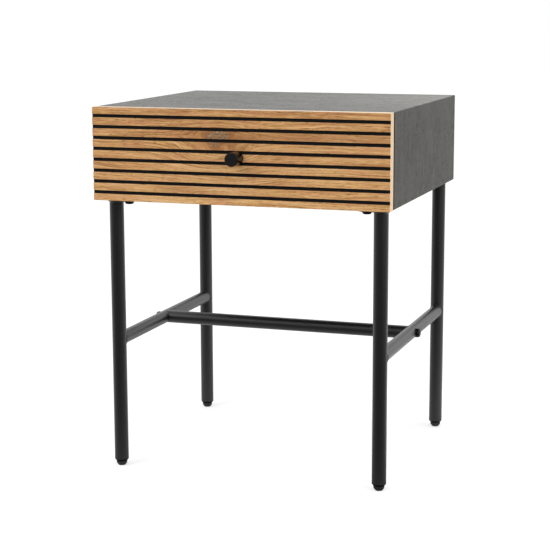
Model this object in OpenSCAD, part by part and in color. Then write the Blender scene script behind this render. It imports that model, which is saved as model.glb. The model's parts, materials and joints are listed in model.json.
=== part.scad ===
// Side table: a mitred case with one slatted drawer, standing on a round-tube steel frame.
// Millimetres. X runs to the right, Y to the back, Z up. The origin is on the floor, under the
// middle of the whole table, knob included. The drawer is shut and the feet are screwed right in.

/* [Overall] */
// Width of the case and of the drawer front
table_w = 450; // [420:5:600]
// Depth from the face of the drawer front to the back of the case
table_d = 412; // [370:1:480]
// Height of the table top above the floor
table_h = 550; // [480:5:700]
// Height of the case, top and bottom boards included
case_h = 137; // [134:1:160]

/* [Case] */
// Thickness of the case boards
panel_t = 16; // [16:0.5:18]
// Bevel on the long outer corners of the case
arris = 0.8; // [0.2:0.1:1.5]
// Thickness of the back panel
back_t = 6; // [4:0.5:8]
// How far the back panel's rebate is cut into the case boards
rebate_w = 8; // [7:0.5:10]
// Gap between the back panel and the walls of its rebate
rebate_play = 0.3; // [0.1:0.1:0.6]
// Diameter of the dowels across the mitres
mitre_dowel_d = 6; // [5:0.5:6]
// Length of the dowels across the mitres
mitre_dowel_l = 20; // [14:1:20]
// Distance from an outer corner to a mitre dowel's middle, along each board
mitre_dowel_in = 11; // [10.5:0.1:11]
// Dowels across each mitre
mitre_dowel_n = 3; // [2:1:4]

/* [Drawer front] */
// Thickness of the drawer front
front_t = 18; // [16:0.5:22]
// Gap between the drawer front and the case, which the buffer pads fill
front_gap = 2; // [1:0.5:3]
// Width of the grooves that divide the front into slats
groove_w = 4.4; // [3:0.1:6]
// Depth of the grooves
groove_depth = 1.4; // [0.8:0.1:4]
// Distance from one groove to the next
groove_pitch = 16; // [14:0.5:20]
// Bevel along the upper and lower edges of the front's face
front_bevel = 0.6; // [0.2:0.1:1]
// Bevel along the edges of the slats, at the mouths of the grooves
slat_bevel = 0.3; // [0.1:0.1:0.6]
// Diameter of the buffer pads behind the front
pad_d = 8; // [6:0.5:12]
// Distance from the top or bottom of the front to a buffer pad's middle
pad_in = 26; // [20:1:40]

/* [Knob] */
// Diameter of the knob
knob_d = 20; // [15:1:30]
// How far the knob stands out from the front
knob_len = 25; // [20:1:35]
// Rounding of the knob's outer edge
knob_round = 1.2; // [0.5:0.1:3]
// Diameter of the knob's screw
knob_screw_d = 4; // [3:0.5:5]
// How far the screw reaches into the knob
knob_screw_in = 15; // [8:1:16]

/* [Drawer box] */
// Thickness of the drawer's side, front and back boards
box_t = 12; // [12:0.5:15]
// Bevel on the upper edges of the drawer's boards
box_arris = 1; // [0.3:0.1:2]
// Height of the drawer's boards
box_h = 84; // [76:1:88]
// Gap between the drawer's box and the back panel
box_back_gap = 28; // [10:1:40]
// Gap between the case's bottom board and the drawer's sides
box_lift = 9; // [6:1:12]
// Thickness of the drawer's bottom
bottom_t = 5; // [3:0.5:6]
// Height of the drawer's bottom above the lower edge of the sides
bottom_up = 6; // [5:0.5:10]
// Depth of the groove that holds the drawer's bottom
bottom_groove = 6; // [4:0.5:7]
// Gap round the drawer's bottom in its groove
bottom_play = 0.1; // [0.05:0.05:0.3]
// Diameter of the drawer's corner dowels
box_dowel_d = 6; // [5:0.5:7]
// How far a corner dowel reaches into a side board
box_dowel_side = 8; // [6:0.5:9]
// How far a corner dowel reaches into a front or back board
box_dowel_end = 20; // [14:1:24]

/* [Runners] */
// Gap between the runners and the back panel
runner_back_gap = 32; // [20:1:50]
// Height of the runners
runner_h = 45.2; // [44:0.2:48]
// Width of the runners, which is the gap between case and drawer
runner_w = 12.7; // [12.6:0.1:13.2]
// Thickness of the runners' sheet steel
sheet_t = 1.2; // [1:0.05:1.25]
// Diameter of the balls
ball_d = 4.8; // [4.5:0.05:4.85]
// Gap between a ball and the race on each side
ball_play = 0.1; // [0.05:0.01:0.1]
// Gap between the webs of the outer and middle members
web_gap = 0.5; // [0.4:0.05:0.6]
// How much further out the outer ball rows lie than the inner rows
row_offset = 3.6; // [3.3:0.05:3.6]
// Balls in each row
ball_n = 7; // [5:1:8]
// Distance from one ball to the next
ball_pitch = 14; // [12:0.5:16]
// Thickness of the ball cages
cage_t = 0.8; // [0.6:0.1:1]
// Distance from the front edge of the case to the runners
runner_setback = 4; // [2:0.5:6]
// Thickness of the stop at the back of the outer members
stop_t = 1.2; // [1:0.1:2]
// Gap between the stop and the two moving members
stop_gap = 0.3; // [0.2:0.1:1]
// How much wider than a screw's head the screwdriver windows are
window_room = 3; // [2:0.5:4]
// Length of the straight part of the screwdriver windows
window_run = 6; // [2:1:12]

/* [Frame] */
// Diameter of the legs
leg_d = 21.3; // [20.5:0.1:25]
// Wall of the legs' tube
leg_wall = 1.8; // [1.2:0.1:2.5]
// Distance from a side of the case to the middle of a leg
leg_in_x = 21; // [16:0.5:30]
// Distance from the front or back of the case to the middle of a leg
leg_in_y = 14; // [13:0.5:24]
// Diameter of the rails between the legs
rail_d = 20; // [16:0.5:20]
// Wall of the rails' tube
rail_wall = 1.5; // [1.2:0.1:1.8]
// Height of the rails' middle above the floor
rail_z = 197; // [120:1:300]
// Thickness of the mounting plates on the legs
plate_t = 4; // [3:0.5:6]
// Rounding radius of the mounting plates' corners
plate_r = 12.5; // [11.5:0.1:13]
// Distance from a leg's middle to its two bolts
plate_bolt_off = 21; // [20:0.5:26]
// Size of the weld round the head of a leg
weld = 2; // [1:0.5:2.5]
// How far the welds at the ends of the side rails reach along the rail
rail_weld_l = 1.4; // [0.8:0.1:2.5]

/* [Bolts] */
// Thread diameter of the frame's bolts
bolt_d = 8; // [6:0.5:8]
// Diameter of the bolts' heads
bolt_head_d = 14; // [12:0.5:14]
// Height of the bolts' heads
bolt_head_h = 4.4; // [3.5:0.1:5]
// Width across the flats of the bolts' hex sockets
bolt_socket = 5; // [4:0.5:6]
// Depth of the hex sockets
bolt_socket_h = 2.6; // [2:0.1:3]
// Clearance of the holes that a bolt passes through, on the diameter
bolt_clear = 0.6; // [0.2:0.1:1]
// Length of the plate bolts under the head
plate_bolt_l = 16; // [12:1:16]
// Diameter of the threaded inserts in the bottom board
insert_d = 12; // [11:0.5:13]
// Length of the threaded inserts
insert_l = 13; // [12.5:0.5:13]
// Length of the rail bolts under the head
rail_bolt_l = 40; // [34:1:44]
// Length of the nuts welded into the ends of the cross rail
end_nut_l = 20; // [16:1:24]
// Thickness of a saddle washer at its thinnest
saddle_t = 0.8; // [0.5:0.1:2]
// Gap round pieces that are pressed, glued or screwed into their holes
seat_play = 0.05; // [0.02:0.01:0.1]

/* [Feet] */
// Height of the ends of the leg tubes above the floor
tube_end_z = 10.2; // [9:0.2:14]
// Height of the foot below the tube's plug
foot_h = 7.2; // [5:0.2:8]
// Height at which the foot starts to taper in
foot_waist_z = 3.3; // [2:0.1:4]
// Diameter of the foot's top
foot_top_d = 16.6; // [15:0.2:19]
// Diameter of the foot where it starts to taper in
foot_waist_d = 15.8; // [14:0.2:17]
// Diameter of the foot's flat pad on the floor
foot_pad_d = 11.2; // [10:0.2:13]
// Diameter of the foot's stud
stud_d = 6; // [5:0.5:8]
// Length of the stud above the foot
stud_l = 22; // [20:1:30]
// Length of the plug inside the tube
plug_l = 18; // [14:1:20]
// Wall thickness that the plug's ribs take up inside the tube
plug_rib = 0.6; // [0.3:0.1:1]
// Running clearance of the stud in its plug, on the radius
stud_play = 0.08; // [0.03:0.01:0.1]

/* [Small screws] */
// Diameter of the wood screws
screw_d = 4; // [3:0.5:4]
// Diameter of the wood screws' heads
screw_head_d = 7.4; // [6:0.1:7.6]
// Height of the wood screws' heads
screw_head_h = 1.9; // [1.5:0.1:2]
// Length of the screws that hold the back panel
back_screw_l = 20; // [16:1:30]
// Length of the screws that hold the outer members to the case
case_screw_l = 13; // [10:1:14]
// Length of the screws that hold the inner members to the drawer
drawer_screw_l = 10; // [8:1:11]
// Length of the screws that hold the front to the drawer's box
front_screw_l = 22; // [19:1:24]

/* [Hidden] */
// Pieces of the table, one file each

OAK = [0.78, 0.60, 0.40];
BLACK_STAIN = [0.20, 0.20, 0.19];
BIRCH = [0.85, 0.76, 0.60];
BEECH = [0.80, 0.63, 0.45];
BLACK_PAINT = [0.12, 0.12, 0.12];
BLACK_PLASTIC = [0.07, 0.07, 0.07];
ZINC = [0.72, 0.73, 0.75];
BALL_STEEL = [0.85, 0.86, 0.88];
CLEAR_RUBBER = [0.86, 0.86, 0.84];

// Places of screws and dowels, as shares of the length that they are spread over
CASE_SCREW_AT = [0.1, 0.5, 0.9];
DRAWER_SCREW_AT = [0.2, 0.45, 0.8];
FRONT_SCREW_AT = [0.3, 0.8];
MITRE_DOWEL_AT = [0.12, 0.88];
SCREW_OUT_AT = 0.7;

// Shapes of screw and bolt heads: flat top over diameter, edge over height, recess over thread and head
HEAD_FLAT = 0.55;
BOLT_FLAT = 0.65;
HEAD_EDGE = 0.2;
RECESS_W = 0.7;
RECESS_H = 0.6;

// Y planes, from the drawer front's face to the back of the case
front_y = knob_len - (table_d + knob_len) / 2;
front_back_y = front_y + front_t;
case_y = front_back_y + front_gap;
back_y = front_y + table_d;
case_d = back_y - case_y;

// The case
case_z = table_h - case_h;
half_w = table_w / 2;
half_in = half_w - panel_t;
in_z = case_z + panel_t;
in_top_z = table_h - panel_t;
back_screw_x = half_in + rebate_w / 2;
back_screw_zs = [in_z - rebate_w / 2, in_top_z + rebate_w / 2];

// The slatted front
groove_n = floor(case_h / groove_pitch);
first_groove_z = case_z + (case_h - (groove_n - 1) * groove_pitch) / 2;
front_mid_z = case_z + case_h / 2;

// The drawer's box
box_half = half_in - runner_w;
box_in_half = box_half - box_t;
box_z = in_z + box_lift;
box_back_y = back_y - back_t - box_back_gap;
bottom_z = box_z + bottom_up;
box_dowel_zs = [bottom_z + bottom_t + 2 * box_dowel_d, box_z + box_h - 2 * box_dowel_d];
front_screw_x = box_in_half * SCREW_OUT_AT;
front_screw_zs = [for (k = FRONT_SCREW_AT) box_z + k * box_h];

// The runners. In their section, u runs from the case's side to the drawer's and v runs up.
runner_z = box_z + box_h / 2;
runner_y = case_y + runner_setback;
runner_len = back_y - back_t - runner_back_gap - runner_y;
member_len = runner_len - stop_t - stop_gap;
race_r = ball_d / 2 + ball_play;
middle_u = sheet_t + web_gap;
inner_row_u = middle_u + sheet_t + race_r;
outer_row_u = inner_row_u + row_offset;
outer_row_v = runner_h / 2 - sheet_t - race_r;
row_slope = acos(row_offset / (2 * race_r + sheet_t));
inner_row_v = outer_row_v - (2 * race_r + sheet_t) * sin(row_slope);
inner_web_v = inner_row_v - race_r;
stop_h = runner_h / 3;
cage_len = ball_n * ball_pitch;
cage_y = runner_y + (member_len - cage_len) / 2;
cage_reach = 5;
cage_edge = 0.4;
case_screw_ys = [for (k = CASE_SCREW_AT) runner_y + k * runner_len];
drawer_screw_ys = [for (k = DRAWER_SCREW_AT) runner_y + k * runner_len];
window_w = screw_head_d + window_room;

// Angles between which the members' bends wrap a ball row, seen from the row's middle
lip_angle = 25;
outer_bend_angles = [lip_angle, 130];
middle_inner_bend_angles = [row_slope, 180];
middle_outer_bend_angles = [180 + row_slope, 360 - lip_angle];
inner_bend_angles = [235, 325];

// The frame
leg_x = half_w - leg_in_x;
leg_front_y = case_y + leg_in_y;
leg_back_y = back_y - leg_in_y;
leg_top_z = case_z - plate_t;
rail_mid_y = (leg_front_y + leg_back_y) / 2;
nut_gap = 0.3;
nut_face_x = leg_x - rail_d / 2 - nut_gap;
function leg_y(sy) = sy < 0 ? leg_front_y : leg_back_y;
function plate_bolt_spots(sx, sy) = [
    [sx * (leg_x - plate_bolt_off), leg_y(sy)],
    [sx * leg_x, leg_y(sy) - sy * plate_bolt_off]
];

// Feet and knob
foot_edge = 0.4;
stud_tip = 1;
knob_foot_bevel = 0.4;

$fn = 48;
OVER = 1;

// ---- Helpers ----

// Sweeps an X-Z outline along Y, from y0 over the length len.
module along_y(y0, len) {
    translate([0, y0 + len, 0]) rotate([90, 0, 0]) linear_extrude(len) children();
}

// A box between two opposite corners.
module box_between(a, b) {
    translate(a) cube(b - a);
}

module each_side() {
    for (s = [-1, 1]) scale([s, 1, 1]) children();
}

// A cylinder from the point p along one axis: "x", "-x", "y", "-y", "z" or "-z".
module rod(p, axis, len, d) {
    translate(p) point_to(axis) cylinder(h = len, d = d);
}

module point_to(axis) {
    turn = axis == "x" ? [0, 90, 0] : axis == "-x" ? [0, -90, 0]
         : axis == "y" ? [-90, 0, 0] : axis == "-y" ? [90, 0, 0]
         : axis == "-z" ? [180, 0, 0] : [0, 0, 0];
    rotate(turn) children();
}

// A bent strip of sheet round a ball row: the part of a ring between two angles.
module bend(centre, angles) {
    r = race_r;
    t = sheet_t;
    reach = 2 * (r + t);
    step = (angles[1] - angles[0]) / 4;
    translate(centre) intersection() {
        difference() {
            circle(r + t);
            circle(r);
        }
        polygon([[0, 0], for (k = [0:4]) let (a = angles[0] + k * step) reach * [cos(a), sin(a)]]);
    }
}

// Mirrors a section up and down, so that it has its upper and lower halves.
module both_halves() {
    for (s = [-1, 1]) scale([1, s]) children();
}

// ---- Fasteners ----

// A button-head bolt. Its head's underside is at the origin and its shank runs along +Z.
module button_bolt(len) {
    r = bolt_head_d / 2;
    edge_h = bolt_head_h * HEAD_EDGE;
    dome_r = r * (1 - BOLT_FLAT);
    dome_h = bolt_head_h - edge_h;
    dome = [for (a = [0:15:90]) [r - dome_r + dome_r * cos(a), -edge_h - dome_h * sin(a)]];
    difference() {
        union() {
            rotate_extrude() polygon([[0, 0], [r, 0], each dome, [0, -bolt_head_h]]);
            cylinder(h = len, d = bolt_d);
        }
        translate([0, 0, -bolt_head_h - OVER])
            cylinder(h = bolt_socket_h + OVER, d = bolt_socket / cos(30), $fn = 6);
    }
}

// The hexagonal recess in a screw's head, from the head's top at the origin.
module recess(head_h, thread_d) {
    translate([0, 0, -OVER]) cylinder(h = head_h * RECESS_H + OVER, d = thread_d * RECESS_W, $fn = 6);
}

// A pan head's outline, with its underside at the origin.
function pan_head(r, h) = [[0, -h], [r * HEAD_FLAT, -h], [r, -h / 2], [r, 0]];

// A pan-head wood screw. Its head's underside is at the origin and its shank runs along +Z.
module pan_screw(len) {
    r = screw_d / 2;
    difference() {
        rotate_extrude() polygon([
            each pan_head(screw_head_d / 2, screw_head_h), [r, 0], [r, len - screw_d], [0, len]
        ]);
        translate([0, 0, -screw_head_h]) recess(screw_head_h, screw_d);
    }
}

// A countersunk wood screw. Its head's flat face is at the origin and its shank runs along +Z.
module flat_screw(len) {
    r = screw_d / 2;
    difference() {
        rotate_extrude() polygon([
            [0, 0], [screw_head_d / 2, 0], [r, screw_head_h], [r, len - screw_d], [0, len]
        ]);
        recess(screw_head_h, screw_d);
    }
}

// The hole for a wood screw: a bore, and a countersink if the head is flat.
module screw_hole(len, flat_head) {
    bore = screw_d + 2 * seat_play;
    cylinder(h = len + seat_play, d = bore);
    if (flat_head)
        cylinder(h = screw_head_h, d1 = screw_head_d + 2 * seat_play, d2 = bore);
}

// ---- Case ----

module top_outline() {
    polygon([
        [half_w - arris / 2, table_h - arris / 2], [half_w - arris, table_h],
        [arris - half_w, table_h], [arris / 2 - half_w, table_h - arris / 2],
        [-half_in, in_top_z], [half_in, in_top_z]
    ]);
}

module side_outline() {
    polygon([
        [half_w - arris / 2, table_h - arris / 2], [half_w, table_h - arris],
        [half_w, case_z + arris], [half_w - arris / 2, case_z + arris / 2],
        [half_in, in_z], [half_in, in_top_z]
    ]);
}

// The space that the back panel takes out of the case boards.
module back_rebate() {
    box_between(
        [-half_in - rebate_w, back_y - back_t, in_z - rebate_w],
        [half_in + rebate_w, back_y + OVER, in_top_z + rebate_w]
    );
}

module at_mitre_dowels() {
    step = (MITRE_DOWEL_AT[1] - MITRE_DOWEL_AT[0]) / (mitre_dowel_n - 1);
    for (sx = [-1, 1], sz = [-1, 1], k = [0:mitre_dowel_n - 1])
        translate([
            sx * (half_w - mitre_dowel_in),
            case_y + case_d * (MITRE_DOWEL_AT[0] + k * step),
            sz > 0 ? table_h - mitre_dowel_in : case_z + mitre_dowel_in
        ])
            rotate([0, -45 * sx * sz, 0]) children();
}

module mitre_dowel_holes() {
    at_mitre_dowels()
        cylinder(h = mitre_dowel_l + 2 * seat_play, d = mitre_dowel_d + 2 * seat_play, center = true);
}

module at_back_screws() {
    for (sx = [-1, 1]) {
        translate([sx * back_screw_x, back_y, front_mid_z]) point_to("-y") children();
        for (z = back_screw_zs)
            translate([sx * half_in * SCREW_OUT_AT, back_y, z]) point_to("-y") children();
    }
}

module top_panel() {
    color(BLACK_STAIN) difference() {
        along_y(case_y, case_d) top_outline();
        back_rebate();
        mitre_dowel_holes();
        at_back_screws() screw_hole(back_screw_l, false);
    }
}

module side_panel(s) {
    color(BLACK_STAIN) difference() {
        scale([s, 1, 1]) along_y(case_y, case_d) side_outline();
        back_rebate();
        mitre_dowel_holes();
        at_back_screws() screw_hole(back_screw_l, false);
        at_case_screws() screw_hole(case_screw_l, true);
    }
}

module bottom_panel() {
    color(BLACK_STAIN) difference() {
        translate([0, 0, table_h + case_z]) scale([1, 1, -1]) along_y(case_y, case_d) top_outline();
        back_rebate();
        mitre_dowel_holes();
        at_back_screws() screw_hole(back_screw_l, false);
        for (p = all_plate_bolts())
            rod([p.x, p.y, case_z - OVER], "z", insert_l + OVER, insert_d + 2 * seat_play);
        at_plate_bolts() cylinder(h = plate_t + insert_l, d = bolt_d + bolt_clear);
    }
}

module back_panel() {
    edge = rebate_w - rebate_play;
    color(BLACK_STAIN) difference() {
        box_between(
            [-half_in - edge, back_y - back_t, in_z - edge],
            [half_in + edge, back_y, in_top_z + edge]
        );
        at_back_screws() screw_hole(back_screw_l, true);
    }
}

module mitre_dowels() {
    color(BEECH) at_mitre_dowels() cylinder(h = mitre_dowel_l, d = mitre_dowel_d, center = true);
}

module back_panel_screws() {
    color(ZINC) at_back_screws() flat_screw(back_screw_l);
}

// ---- Frame ----

function all_plate_bolts() = [for (sx = [-1, 1], sy = [-1, 1]) each plate_bolt_spots(sx, sy)];

module at_plate_bolts() {
    for (p = all_plate_bolts()) translate([p.x, p.y, leg_top_z]) children();
}

module leg(sx, sy) {
    len = leg_top_z - tube_end_z;
    color(BLACK_PAINT) translate([sx * leg_x, leg_y(sy), tube_end_z]) difference() {
        cylinder(h = len, d = leg_d);
        translate([0, 0, -OVER]) cylinder(h = len + 2 * OVER, d = leg_d - 2 * leg_wall);
    }
}

// A triangle with round corners of radius r.
module round_triangle(points, r) {
    polygon(points);
    for (k = [0:2]) {
        a = points[k];
        b = points[(k + 1) % 3];
        side = r * [a.y - b.y, b.x - a.x] / norm(b - a);
        polygon([a + side, b + side, b - side, a - side]);
        translate(a) circle(r);
    }
}

// A leg's mounting plate, with the weld round the leg's head.
module plate(sx, sy) {
    centre = [sx * leg_x, leg_y(sy)];
    color(BLACK_PAINT) difference() {
        union() {
            translate([0, 0, leg_top_z]) linear_extrude(plate_t)
                round_triangle(concat([centre], plate_bolt_spots(sx, sy)), plate_r);
            translate([centre.x, centre.y, leg_top_z]) rotate_extrude()
                polygon([[leg_d / 2, 0], [leg_d / 2 + weld, 0], [leg_d / 2, -weld]]);
        }
        at_plate_bolts() translate([0, 0, -OVER]) cylinder(h = plate_t + 2 * OVER, d = bolt_d + bolt_clear);
    }
}

// The weld bead between a leg and the end of a side rail, as wide as the leg.
module rail_weld(x, sy) {
    intersection() {
        rod([x, leg_y(sy), rail_z], sy < 0 ? "y" : "-y", leg_d, leg_d);
        rod([x, leg_y(sy), rail_z - leg_d], "z", 2 * leg_d, leg_d + 2 * rail_weld_l);
    }
}

// A side rail. Its ends are coped to the round of the legs.
module side_rail(s) {
    x = s * leg_x;
    len = leg_back_y - leg_front_y;
    color(BLACK_PAINT) difference() {
        union() {
            rod([x, leg_front_y, rail_z], "y", len, rail_d);
            for (sy = [-1, 1]) rail_weld(x, sy);
        }
        rod([x, leg_front_y - OVER, rail_z], "y", len + 2 * OVER, rail_d - 2 * rail_wall);
        for (sy = [-1, 1]) rod([x, leg_y(sy), rail_z - leg_d], "z", 2 * leg_d, leg_d);
        rod([x - rail_d, rail_mid_y, rail_z], "x", 2 * rail_d, bolt_d + bolt_clear);
    }
}

// The cross rail. Its ends are coped to the round of the side rails.
module cross_rail() {
    color(BLACK_PAINT) difference() {
        rod([-leg_x, rail_mid_y, rail_z], "x", 2 * leg_x, rail_d);
        rod([-leg_x - OVER, rail_mid_y, rail_z], "x", 2 * (leg_x + OVER), rail_d - 2 * rail_wall);
        for (s = [-1, 1]) rod([s * leg_x, rail_mid_y - rail_d, rail_z], "y", 2 * rail_d, rail_d);
    }
}

module rail_end_nuts() {
    color(ZINC) each_side() difference() {
        rod([nut_face_x, rail_mid_y, rail_z], "-x", end_nut_l, rail_d - 2 * rail_wall - 2 * seat_play);
        rod([nut_face_x + OVER, rail_mid_y, rail_z], "-x", end_nut_l + 2 * OVER, bolt_d + 2 * seat_play);
    }
}

module rail_bolts() {
    color(BLACK_PAINT) each_side()
        translate([leg_x + rail_d / 2 + saddle_t, rail_mid_y, rail_z])
            point_to("-x") button_bolt(rail_bolt_l);
}

// Washers with a hollow face that fits the round of the side rails.
module saddle_washers() {
    color(BLACK_PAINT) each_side() difference() {
        rod([leg_x, rail_mid_y, rail_z], "x", rail_d / 2 + saddle_t, bolt_head_d);
        rod([leg_x - OVER, rail_mid_y, rail_z], "x", rail_d, bolt_d + bolt_clear);
        rod([leg_x, rail_mid_y - rail_d, rail_z], "y", 2 * rail_d, rail_d);
    }
}

module plate_bolts() {
    color(BLACK_PAINT) at_plate_bolts() button_bolt(plate_bolt_l);
}

module threaded_inserts() {
    color(ZINC) for (p = all_plate_bolts()) difference() {
        rod([p.x, p.y, case_z], "z", insert_l, insert_d);
        rod([p.x, p.y, case_z - OVER], "z", insert_l + 2 * OVER, bolt_d + 2 * seat_play);
    }
}

// ---- Feet ----

// Plastic plugs in the ends of the leg tubes, with a tapered collar and three ribs that grip the bore.
module leg_end_plugs() {
    bore_r = leg_d / 2 - leg_wall - seat_play;
    body_r = bore_r - plug_rib;
    collar_z = foot_h - tube_end_z;
    rib_h = plug_l / 9;
    rib = [for (k = [1, 4, 7]) each [
        [body_r, k * rib_h], [bore_r, k * rib_h],
        [bore_r, (k + 1) * rib_h - plug_rib], [body_r, (k + 1) * rib_h]
    ]];
    color(BLACK_PLASTIC) for (sx = [-1, 1], sy = [-1, 1])
        translate([sx * leg_x, leg_y(sy), tube_end_z]) difference() {
            rotate_extrude() polygon([
                [0, collar_z], [foot_top_d / 2, collar_z], [leg_d / 2, -foot_edge], [leg_d / 2, 0],
                [body_r, 0], each rib, [body_r, plug_l], [0, plug_l]
            ]);
            translate([0, 0, collar_z - OVER])
                cylinder(h = plug_l + tube_end_z, r = stud_d / 2 + stud_play);
        }
}

module foot(sx, sy) {
    color(BLACK_PLASTIC) translate([sx * leg_x, leg_y(sy), 0]) difference() {
        rotate_extrude() polygon([
            [0, 0], [foot_pad_d / 2 - foot_edge, 0], [foot_pad_d / 2, foot_edge],
            [foot_waist_d / 2, foot_waist_z], [foot_top_d / 2, foot_h - foot_edge],
            [foot_top_d / 2 - foot_edge, foot_h], [0, foot_h]
        ]);
        translate([0, 0, foot_h / 2]) cylinder(h = foot_h, d = stud_d + 2 * seat_play);
    }
}

module stud(sx, sy) {
    len = foot_h / 2 + stud_l - stud_tip;
    color(ZINC) translate([sx * leg_x, leg_y(sy), foot_h / 2]) {
        cylinder(h = len, d = stud_d);
        translate([0, 0, len]) cylinder(h = stud_tip, d1 = stud_d, d2 = stud_d - stud_tip);
    }
}

// ---- Drawer front ----

module at_front_screws() {
    for (sx = [-1, 1], z = front_screw_zs)
        translate([sx * front_screw_x, front_back_y + box_t, z]) point_to("-y") children();
}

module front_screw_holes() {
    at_front_screws() translate([0, 0, -OVER]) screw_hole(front_screw_l + OVER, false);
}

module knob_screw_hole() {
    len = front_t + box_t + 2 * OVER;
    rod([0, front_back_y + box_t + OVER, front_mid_z], "-y", len, knob_screw_d + bolt_clear);
}

// The front's section in Y and Z: a board whose face is cut by the grooves.
module front_outline() {
    difference() {
        polygon([
            [front_y + front_bevel, case_z], [front_back_y, case_z],
            [front_back_y, table_h], [front_y + front_bevel, table_h],
            [front_y, table_h - front_bevel], [front_y, case_z + front_bevel]
        ]);
        for (k = [0:groove_n - 1])
            translate([front_y, first_groove_z + k * groove_pitch]) both_halves() groove_half();
    }
}

// The upper half of a groove's section, with the bevel at its mouth.
module groove_half() {
    half = groove_w / 2;
    polygon([
        [-OVER, 0], [groove_depth, 0], [groove_depth, half],
        [slat_bevel, half], [-OVER, half + slat_bevel + OVER]
    ]);
}

module drawer_front() {
    color(OAK) difference() {
        translate([-half_w, 0, 0]) rotate([90, 0, 90]) linear_extrude(table_w) front_outline();
        front_screw_holes();
        knob_screw_hole();
    }
}

module knob() {
    r = knob_d / 2;
    middle = [r - knob_round, knob_len - knob_round];
    round_off = [for (a = [0:15:90]) middle + knob_round * [cos(a), sin(a)]];
    color(BLACK_PAINT) translate([0, front_y, front_mid_z]) point_to("-y") difference() {
        rotate_extrude()
            polygon([[0, 0], [r - knob_foot_bevel, 0], [r, knob_foot_bevel], each round_off, [0, knob_len]]);
        translate([0, 0, -OVER])
            cylinder(h = knob_screw_in + knob_screw_d / 2 + OVER, d = knob_screw_d + 2 * seat_play);
    }
}

// A machine screw from inside the drawer, through the box and the front, into the knob.
module knob_screw() {
    head_h = knob_screw_d * 0.65;
    color(ZINC) translate([0, front_back_y + box_t, front_mid_z]) point_to("-y") difference() {
        union() {
            rotate_extrude() polygon([each pan_head(knob_screw_d, head_h), [0, 0]]);
            cylinder(h = box_t + front_t + knob_screw_in, d = knob_screw_d);
        }
        translate([0, 0, -head_h]) recess(head_h, knob_screw_d);
    }
}

module front_screws() {
    color(ZINC) at_front_screws() pan_screw(front_screw_l);
}

module buffer_pads() {
    color(CLEAR_RUBBER) for (sx = [-1, 1], z = [case_z + pad_in, table_h - pad_in])
        rod([sx * (half_w - panel_t / 2), front_back_y, z], "y", front_gap, pad_d);
}

// ---- Drawer box ----

// The grooved space that the drawer's bottom slides into.
module bottom_groove_space() {
    reach = bottom_groove;
    box_between(
        [-box_in_half - reach, front_back_y + box_t - reach, bottom_z - bottom_play],
        [box_in_half + reach, box_back_y - box_t + reach, bottom_z + bottom_t + bottom_play]
    );
}

module at_box_dowels() {
    for (y = [front_back_y + box_t / 2, box_back_y - box_t / 2], z = box_dowel_zs)
        each_side() translate([box_in_half, y, z]) children();
}

module box_dowel_holes() {
    at_box_dowels() translate([-box_dowel_end - seat_play, 0, 0]) point_to("x")
        cylinder(h = box_dowel_end + box_dowel_side + 2 * seat_play, d = box_dowel_d + 2 * seat_play);
}

module box_dowels() {
    color(BEECH) at_box_dowels() translate([-box_dowel_end, 0, 0]) point_to("x")
        cylinder(h = box_dowel_end + box_dowel_side, d = box_dowel_d);
}

// A board's section, t thick, with bevels along both upper edges.
module board_outline(t) {
    polygon([
        [0, box_z], [t, box_z], [t, box_z + box_h - box_arris], [t - box_arris, box_z + box_h],
        [box_arris, box_z + box_h], [0, box_z + box_h - box_arris]
    ]);
}

module box_side_board(s) {
    color(BIRCH) difference() {
        scale([s, 1, 1]) translate([box_in_half, 0, 0])
            along_y(front_back_y, box_back_y - front_back_y) board_outline(box_t);
        bottom_groove_space();
        box_dowel_holes();
        at_drawer_screws() screw_hole(drawer_screw_l, false);
    }
}

module box_end_board(y) {
    difference() {
        translate([-box_in_half, y, 0]) rotate([90, 0, 90])
            linear_extrude(2 * box_in_half) board_outline(box_t);
        bottom_groove_space();
        box_dowel_holes();
    }
}

module box_front_board() {
    color(BIRCH) difference() {
        box_end_board(front_back_y);
        front_screw_holes();
        knob_screw_hole();
    }
}

module box_back_board() {
    color(BIRCH) box_end_board(box_back_y - box_t);
}

module box_bottom() {
    reach = bottom_groove - 3 * bottom_play;
    color(BIRCH) box_between(
        [-box_in_half - reach, front_back_y + box_t - reach, bottom_z],
        [box_in_half + reach, box_back_y - box_t + reach, bottom_z + bottom_t]
    );
}

// ---- Runners: three nested members that roll on four rows of balls a side ----

// Puts a runner's section on the left (-1) or right (1) side of the case.
module runner_side(s) {
    translate([s * half_in, 0, runner_z]) scale([-s, 1, 1]) children();
}

// The outer member's section: a web with lips that hook over the outer ball rows.
module outer_section() {
    translate([0, -runner_h / 2]) square([sheet_t, runner_h]);
    both_halves() {
        translate([0, runner_h / 2 - sheet_t]) square([outer_row_u, sheet_t]);
        bend([outer_row_u, outer_row_v], outer_bend_angles);
    }
}

// The middle member's section: each flange bends over the inner row and then under the outer row.
module middle_section() {
    translate([middle_u, -inner_row_v]) square([sheet_t, 2 * inner_row_v]);
    both_halves() {
        bend([inner_row_u, inner_row_v], middle_inner_bend_angles);
        bend([outer_row_u, outer_row_v], middle_outer_bend_angles);
    }
}

// The inner member's section: a web with flanges that cradle the inner ball rows.
module inner_section() {
    translate([runner_w - sheet_t, -inner_web_v]) square([sheet_t, 2 * inner_web_v]);
    both_halves() {
        translate([inner_row_u, inner_web_v - sheet_t]) square([runner_w - inner_row_u, sheet_t]);
        bend([inner_row_u, inner_row_v], inner_bend_angles);
    }
}

// Screws from inside the outer members into the case's sides.
module at_case_screws() {
    for (s = [-1, 1], y = case_screw_ys)
        runner_side(s) translate([sheet_t, y, 0]) point_to("-x") children();
}

// Screws from inside the inner members into the drawer's sides.
module at_drawer_screws() {
    for (s = [-1, 1], y = drawer_screw_ys)
        runner_side(s) translate([runner_w - sheet_t, y, 0]) point_to("x") children();
}

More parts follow.
